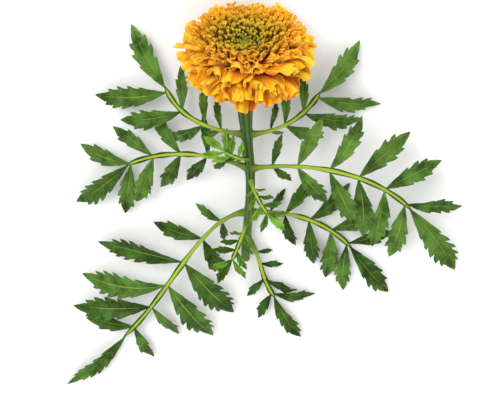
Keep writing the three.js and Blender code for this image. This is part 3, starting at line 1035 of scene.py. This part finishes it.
class MARIGOLD_OT_involucre(bpy.types.Operator):
    """Builds the ribbed green cup of fused bracts under the head"""

    bl_idname = "marigold.involucre"
    bl_label = "Involucre"

    bracts = 9
    # The cup's wall from its foot to its rim: how far up, and the radius there.
    rise = (0, 0.08, 0.18, 0.3, 0.55, 0.8, 1.0)
    radii = (4.75, 5.1, 6.1, 7.4, 9.1, 9.8, 10.3)
    foot_height = -18.5
    wall_height = 16.7
    tooth_height = 3.4

    def execute(self, context):
        head, greens = context.scene.marigold.head, context.scene.marigold.greens
        u, q = grid(26, 145)
        angle = (q + 1) * math.pi
        wave = np.abs(np.cos(angle * self.bracts / 2))
        rib, tooth = wave**6, wave**0.8
        radius = np.interp(u, self.rise, self.radii)
        radius = radius + 0.35 * rib * ease(u / 0.3) + 0.5 * tooth * ease((u - 0.85) / 0.15)
        height = self.foot_height + u * (self.wall_height + self.tooth_height * tooth)
        sheet = np.stack([radius * np.cos(angle), radius * np.sin(angle), height], -1)
        skin = Skin()
        wall = (0.3 + 0.5 * ease(u / 0.2)) * MM
        tags = {"along": 1.0, "ridge": rib}
        skin.shell(to_world(bloom_to_world(head), sheet[:, ::-1]), wall, tags)
        finish = shared_finish("stem skin", stem_finish, greens.stem_colour)
        skin.build("bract_cup", finish, "involucre", "involucre")
        return {"FINISHED"}


def stem_bow(height, length):
    """How far the stem stands to the side at that height."""
    along = np.maximum(0.0, STEM_STRAIGHT - height) / (length + STEM_STRAIGHT)
    return STEM_BOW * (1 - np.cos(2 * math.pi * along)) / 2


class MARIGOLD_OT_stem(bpy.types.Operator):
    """Builds the ribbed stem with its swollen joints, its broad top and its cut end"""

    bl_idname = "marigold.stem"
    bl_label = "Stem"

    ribs = 8
    cut_rings = 9

    def execute(self, context):
        head, greens = context.scene.marigold.head, context.scene.marigold.greens
        matrix = bloom_to_world(head)
        length = stem_length(head)
        height = np.concatenate([np.linspace(-length, -24, 90), np.linspace(-23, 0, 24)])
        swell = sum(np.exp(-(((height - joint) / 3.2) ** 2)) for joint in LEAF_JOINTS)
        radius = np.interp(height, (-length, *STEM_HEIGHTS), STEM_RADII) + 0.65 * swell
        angle = circle(64)
        height, radius = height[:, None], radius[:, None]
        ridge = np.abs(np.cos((angle[None] + height * 0.004) * self.ribs / 2)) ** 1.6
        radius = radius + greens.rib_height / MM * (ridge - 0.5)
        x = radius * np.cos(angle) + stem_bow(height, length)
        loops = np.stack([x, radius * np.sin(angle), np.broadcast_to(height, x.shape)], -1)
        along = np.broadcast_to((height + length) / length, x.shape)
        skin = Skin()
        skin.tube(to_world(matrix, loops), {"along": along, "ridge": ridge})
        finish = shared_finish("stem skin", stem_finish, greens.stem_colour)
        skin.build("stalk", finish, "stem", "stem")

        # The cut end's rings, from its edge inwards, behind one that is sunk in the stem.
        part = np.linspace(1, 0, self.cut_rings)[:-1, None]
        edge = loops[0] - loops[0].mean(0)
        face = loops[0].mean(0) + part[..., None] * edge * 0.985
        face[..., 2] -= 0.12 + 0.25 * (1 - part) + 0.08 * np.sin(5 * angle[None]) * part
        sunk = loops[:1] * [0.97, 0.97, 1] + [0, 0, 0.4]
        along = np.broadcast_to(np.vstack([[1.0], part]), (len(part) + 1, len(angle)))
        pith = Skin()
        pith.tube(to_world(matrix, np.concatenate([sunk, face])), {"along": along})
        pith.build("cut_end", pith_finish(), "stem")
        return {"FINISHED"}


# Leaves
# ------


def by_length(points, count):
    """Re-spaces a curve's points evenly along its length."""
    steps = np.linalg.norm(np.diff(points, axis=0), axis=1)
    run = np.concatenate([[0], np.cumsum(steps)])
    even = np.linspace(0, run[-1], count)
    return np.stack([np.interp(even, run, points[:, i]) for i in range(3)], -1)


def leaf_curve(leaf, head, matrix):
    """The midrib from the stem's skin to the end leaflet, as evenly spaced world points."""
    height = leaf["joint"]
    centre = to_world(matrix, np.array([stem_bow(height, stem_length(head)), 0.0, height]))
    shift = np.array([matrix.translation.x, matrix.translation.y, 0.0])
    stops = np.array(leaf["route"]) * MM + shift
    foot = centre + unit(stops[0] - centre) * MM
    steps = 200
    return by_length(bezier([foot, *stops], np.linspace(0, 1, steps))[0], steps)


def rib_tube(skin, curve, radii, joints):
    """A leaf's midrib: a slim grooved tube, broad at its foot and swollen at its joints."""
    points = by_length(curve, 72)
    way = unit(np.gradient(points, axis=0))
    side = unit(np.cross(way, [0, 0, 1]))
    up = np.cross(side, way)
    angle = circle(14)
    place = np.linspace(0, 1, len(points))
    length = np.linalg.norm(np.diff(points, axis=0), axis=1).sum()
    foot = np.exp(-((place * length / 0.006) ** 2))
    swell = foot + sum(0.22 * np.exp(-(((place - joint) / 0.02) ** 2)) for joint in joints)
    swell = swell - 0.6 * ease((place - 0.9) / 0.1)
    radius = ((radii[0] + (radii[1] - radii[0]) * place) * (1 + swell))[:, None]
    radius = radius * (1 - 0.22 * np.exp(-(((angle - math.pi / 2) / 0.5) ** 2)))[None]
    loops = points[:, None] + (radius * np.cos(angle))[..., None] * side[:, None]
    loops = loops + (radius * np.sin(angle))[..., None] * up[:, None]
    # The rib's colour is strongest along its top and fades down its sides, a painted highlight. It
    # is also fainter at its broad foot and over its first half, as the rib is greener near the
    # stem.
    rib_tone_and_top_light = (0.35 + 0.6 * ease(0.3 + 0.8 * np.sin(angle))) * (1 - 0.85 * foot[:, None])
    rib_tone_and_top_light = rib_tone_and_top_light * (0.5 + 0.5 * ease(place / 0.5))[:, None]
    along = np.broadcast_to(place[:, None], radius.shape)
    across = np.broadcast_to(0.65 + 0.35 * np.cos(angle), radius.shape)
    tags = {"along": along, "across": across, "vein": 0.0, "rib": rib_tone_and_top_light, "chance": 0.5}
    skin.tube(loops, tags)


# Each leaf has this many seeds for its leaflets' scatter. The end leaflet's comes after
# those of the pairs.
LEAF_SEEDS = 40
END_SEED = 30

# One tooth of a leaflet's margin is about this long. Its rows, from its notch to its
# point: how far along it each lies, and how deep the margin is cut there.
TOOTH_PITCH = 6.8
TOOTH_ROWS = ((0.0, 1.0), (0.3, 0.74), (0.62, 0.38), (0.84, 0.06), (0.92, 0.0))


def margin_rows(length):
    """A leaflet's rows: how far along each lies, its place in its tooth, and how deep its
    margin is cut. The first part has no teeth."""
    count = max(3, round(0.76 * length / MM / TOOTH_PITCH))
    rows = [(u, 0.4, 0.0) for u in np.linspace(0, 0.18, 6)]
    for i in range(count):
        for phase, depth in TOOTH_ROWS:
            rows.append((0.2 + 0.77 * (i + phase) / count, phase, depth * min(1, 0.25 + i / 2)))
    return np.array([*rows, (1.0, 0.0, 0.0)]).T


def leaflet(skin, k, base, heading, length, leaf, slim, greens):
    """One leaflet: a folded, arched blade with forward teeth, its rows along its veins."""
    side = np.array([-heading[1], heading[0], 0.0])
    tip = base + (heading + side * between(-0.12, 0.12, k, 1)) * length
    tip[2] = max(0.0005, base[2] * (1 - leaf["drop"]) + between(-1.0, 2.5, k, 2) * MM)
    middle = (base + tip) / 2 + side * length * between(-0.09, 0.09, k, 3)
    middle[2] += 0.14 * length * between(0.4, 1.7, k, 4)

    # u runs from the foot to the tip and v from edge to edge, where the teeth are cut.
    station, phase, cut = (row[:, None] for row in margin_rows(length))
    v = np.linspace(-1, 1, 15)
    v = (np.sign(v) * np.abs(v) ** 1.15)[None] + 0 * station
    u = station + 0 * v
    size = np.abs(v)
    half = 0.172 * slim * length * np.maximum(u**1.2 * (1 - u) ** 0.95 / 0.235, 0.06 * (1 - u))
    ragged = 1 + 0.3 * np.sin(40 * u + 2 * np.sign(v) + k)
    reach = half * (1 - greens.tooth_depth * cut * size**2 * ragged)

    # The rows slant forwards as the veins do, and most of all at the points of the teeth.
    slant = 0.6 * size * half * (1 - u**4)
    slant += 0.034 * length * size**3 * (phase > 0.9) * np.minimum(1, 5 * (1 - u))
    slant += between(-0.045, 0.045, k, 11) * length * v * np.sin(math.pi * u)
    at, _ = bezier([base, middle, tip], np.clip(0.96 * u + 0.05 * u**16 + slant / length, 0, 1.02))

    # The halves fold up from the midrib and sway, swell between the veins, and meet in a
    # groove. The whole blade tilts, more so towards its tip.
    fold = between(0.12, 0.55, k, 5)
    sway = between(0.3, 1.1, k, 6) * MM * np.sin(between(6, 11, k, 7) * u + between(0, 6, k, 8))
    lift = fold * size * half * (1.3 - 0.7 * size) + sway * size**1.5 * ease(u / 0.3)
    lift = lift + 0.26 * MM * np.sin(math.pi * phase) * np.sin(math.pi * size)
    lift = lift - 0.25 * MM * ease(u / 0.2) * np.exp(-((v / 0.09) ** 2))
    tilt = between(-0.45, 0.45, k, 9) + between(-0.7, 0.7, k, 10) * (u[..., None] - 0.4)
    across = unit(side + np.array([0.0, 0.0, 1.0]) * tilt)
    over = np.cross(heading, across)
    over = over * np.sign(over[..., 2:])
    sheet = settle(at + (v * reach)[..., None] * across + lift[..., None] * over, 0.0016)

    # Veins end at the teeth. A leaflet's chance is half random and half its height up the stem, so
    # the leaflets up the stem get more of the finish's painted sheen.
    vein = np.maximum(1 - 5 * np.abs(phase - 0.88), 0) * np.minimum(1, 6 * (1 - size))
    up_stem = np.interp(-leaf["joint"], (-LEAF_JOINTS[0], -LEAF_JOINTS[-1]), (1, 0))
    tone_and_sheen = 0.5 * scatter(k, 20) + 0.5 * up_stem
    tags = {"along": u, "across": v, "vein": vein, "rib": 0.0, "chance": tone_and_sheen}
    skin.shell(sheet, greens.blade_thickness * (1 - 0.4 * size**3), tags)


def wing(skin, curve, leaf, radius, greens):
    """The narrow strips of blade along both sides of a leaf's midrib."""
    u, v = grid(60, 9)
    points = by_length(curve, len(u))
    way = unit(np.gradient(points, axis=0))
    side = unit(np.cross(way, [0, 0, 1]))
    start = leaf["pairs"][0][0]
    width = radius * (1.0 + 1.7 * ease((u - start + 0.12) / 0.3)) * (1 + 0.15 * np.sin(31 * u))
    width = width * np.minimum(1, 12 * (1.02 - u))
    sheet = points[:, None] + (v * width)[..., None] * side[:, None]
    sheet[..., 2] += 0.12 * radius * np.sin(23 * u) * v - 0.25 * radius
    tags = {"along": u, "across": 0.3 + 0.7 * np.abs(v), "vein": 0.0, "rib": 0.0, "chance": 0.3}
    skin.shell(settle(sheet[:, ::-1], 0.0012), greens.blade_thickness, tags)


def build_leaf(node, leaf, number, slot, finish, midrib, marigold):
    """Builds one whole leaf; midrib holds its midrib's radius at the foot and at the tip."""
    head, greens = marigold.head, marigold.greens
    curve = leaf_curve(leaf, head, bloom_to_world(head))
    way = unit(np.gradient(curve, axis=0))
    skin = Skin()
    rib_tube(skin, curve, [radius * MM for radius in midrib], [at for at, *_ in leaf["pairs"]])
    wing(skin, curve, leaf, midrib[1] * MM, greens)

    def hang(at, turn, length, k, slim=1.0):
        i = round(at * (len(curve) - 1))
        x, y, _ = unit(way[i] * [1, 1, 0])
        cos, sin = math.cos(turn), math.sin(turn)
        heading = np.array([x * cos - y * sin, x * sin + y * cos, 0.0])
        leaflet(skin, k, curve[i], heading, length * MM, leaf, slim, greens)

    for i, (at, plus, minus) in enumerate(leaf["pairs"]):
        splay = math.radians(68 - 14 * at)
        for sign, length in ((1, plus), (-1, minus)):
            if length > 0:
                k = number * LEAF_SEEDS + i * 2 + (sign > 0)
                hang(at, sign * splay * between(0.84, 1.1, k, 15), length, k)
    k = number * LEAF_SEEDS + END_SEED
    hang(0.97, 0.0, leaf["end"], k, leaf.get("end_width", 1.0))
    skin.build(f"{node}_blade", finish, slot, node)


class MARIGOLD_OT_leaves(bpy.types.Operator):
    """Builds the pinnate leaves, one piece for each"""

    bl_idname = "marigold.leaves"
    bl_label = "Leaves"

    # The midrib's radius at its foot and at its tip.
    midrib = (1.3, 0.6)

    def execute(self, context):
        marigold = context.scene.marigold
        colours = marigold.greens.leaf_colour, marigold.greens.rib_colour
        finish = leaf_finish("leaf satin", *colours)
        for number, (node, leaf) in enumerate(LEAVES.items()):
            build_leaf(node, leaf, number, "leaf", finish, self.midrib, marigold)
        return {"FINISHED"}


class MARIGOLD_OT_shoots(bpy.types.Operator):
    """Builds the young shoots in the leaf joints"""

    bl_idname = "marigold.shoots"
    bl_label = "Young Shoots"

    midrib = (0.9, 0.5)

    def execute(self, context):
        marigold = context.scene.marigold
        colours = marigold.greens.young_colour, marigold.greens.rib_colour
        finish = leaf_finish("young leaf satin", *colours)
        for number, (node, leaf) in enumerate(SHOOTS.items(), len(LEAVES)):
            build_leaf(node, leaf, number, "young_leaf", finish, self.midrib, marigold)
        return {"FINISHED"}


# Stage
# -----


def soft_sun(name, towards, strength, spread):
    """A wide, even light that shines along the given direction."""
    light = bpy.data.lights.new(name, "SUN")
    light.energy, light.angle = strength, spread
    lamp = bpy.data.objects.new(name, light)
    lamp.rotation_euler = Vector(towards).to_track_quat("-Z", "Y").to_euler()
    bpy.context.scene.collection.objects.link(lamp)


class MARIGOLD_OT_stage(bpy.types.Operator):
    """Sets out the pale floor, the soft lights and the camera"""

    bl_idname = "marigold.stage"
    bl_label = "Stage"

    floor_reach = 30.0
    # The camera stands off the flower's side, a little aside and raised, and looks down at
    # it. Its aim is lowered from the head, so that the stem and leaves are in view too.
    aside = 2.75
    raised = 10
    lowered = math.radians(5.62)

    def execute(self, context):
        scene = context.scene
        stage = scene.marigold.stage
        matrix = bloom_to_world(scene.marigold.head)

        mesh = bpy.data.meshes.new("floor")
        signs = ((-1, -1), (1, -1), (1, 1), (-1, 1))
        corners = [(x * self.floor_reach, y * self.floor_reach, 0) for x, y in signs]
        mesh.from_pydata(corners, [], [(0, 1, 2, 3)])
        floor = bpy.data.objects.new("floor", mesh)
        scene.collection.objects.link(floor)
        f = Finish("pale floor")
        dust = f.noise(f.object_place(), 3.0, 2.0)
        near = tuple(c * 0.99 for c in stage.floor_colour)
        mesh.materials.append(f.skin(f.mix(dust, near, stage.floor_colour), 0.85))

        world = bpy.data.worlds.new("studio")
        world.use_nodes = True
        sky = world.node_tree.nodes["Background"]
        sky.inputs[0].default_value = (1.0, 1.0, 1.0, 1.0)
        sky.inputs[1].default_value = stage.surround
        scene.world = world

        soft_sun("key", (-0.42, 0.62, -1.0), stage.key_strength, math.radians(30))
        soft_sun("fill", (0.7, -0.5, -1.0), 0.3 * stage.key_strength, math.radians(70))

        off, up = math.cos(stage.view_height), math.sin(stage.view_height)
        reach = stage.distance / MM
        place = Vector((self.aside, -reach * off, self.raised + reach * up))
        aim = stage.view_height + self.lowered
        forward = Vector((0, math.cos(aim), -math.sin(aim)))
        turn = matrix.to_3x3().normalized()
        back = turn @ -forward
        right = turn @ Vector((1, 0, 0))
        axes = Matrix((right, back.cross(right), back)).transposed()
        camera = bpy.data.objects.new("camera", bpy.data.cameras.new("camera"))
        camera.matrix_world = Matrix.Translation(matrix @ place) @ axes.to_4x4()
        camera.data.lens = stage.lens
        camera.data.sensor_width = 36
        camera.data.clip_end = 20
        scene.collection.objects.link(camera)
        scene.camera = camera
        scene.view_settings.view_transform = "Standard"
        return {"FINISHED"}


# Panel and run
# -------------

OPERATORS = (
    MARIGOLD_OT_stage,
    MARIGOLD_OT_ray_florets,
    MARIGOLD_OT_inner_florets,
    MARIGOLD_OT_involucre,
    MARIGOLD_OT_stem,
    MARIGOLD_OT_leaves,
    MARIGOLD_OT_shoots,
)


class MARIGOLD_PT_panel(bpy.types.Panel):
    """Lists the settings and the pieces in the 3D view's sidebar"""

    bl_label = "Marigold"
    bl_idname = "MARIGOLD_PT_panel"
    bl_space_type = "VIEW_3D"
    bl_region_type = "UI"
    bl_category = "Marigold"

    def draw(self, context):
        settings = context.scene.marigold
        for group in (settings.head, settings.greens, settings.stage):
            box = self.layout.box()
            for name in group.__annotations__:
                box.prop(group, name)
        for operator in OPERATORS:
            self.layout.operator(operator.bl_idname)


CLASSES = (
    MarigoldHead,
    MarigoldGreens,
    MarigoldStage,
    MarigoldSettings,
    *OPERATORS,
    MARIGOLD_PT_panel,
)


def register():
    for cls in CLASSES:
        bpy.utils.register_class(cls)
    bpy.types.Scene.marigold = bpy.props.PointerProperty(type=MarigoldSettings)


def unregister():
    del bpy.types.Scene.marigold
    for cls in reversed(CLASSES):
        bpy.utils.unregister_class(cls)


def main():
    register()
    for operator in OPERATORS:
        family, name = operator.bl_idname.split(".")
        getattr(getattr(bpy.ops, family), name)()


if __name__ == "__main__":
    main()
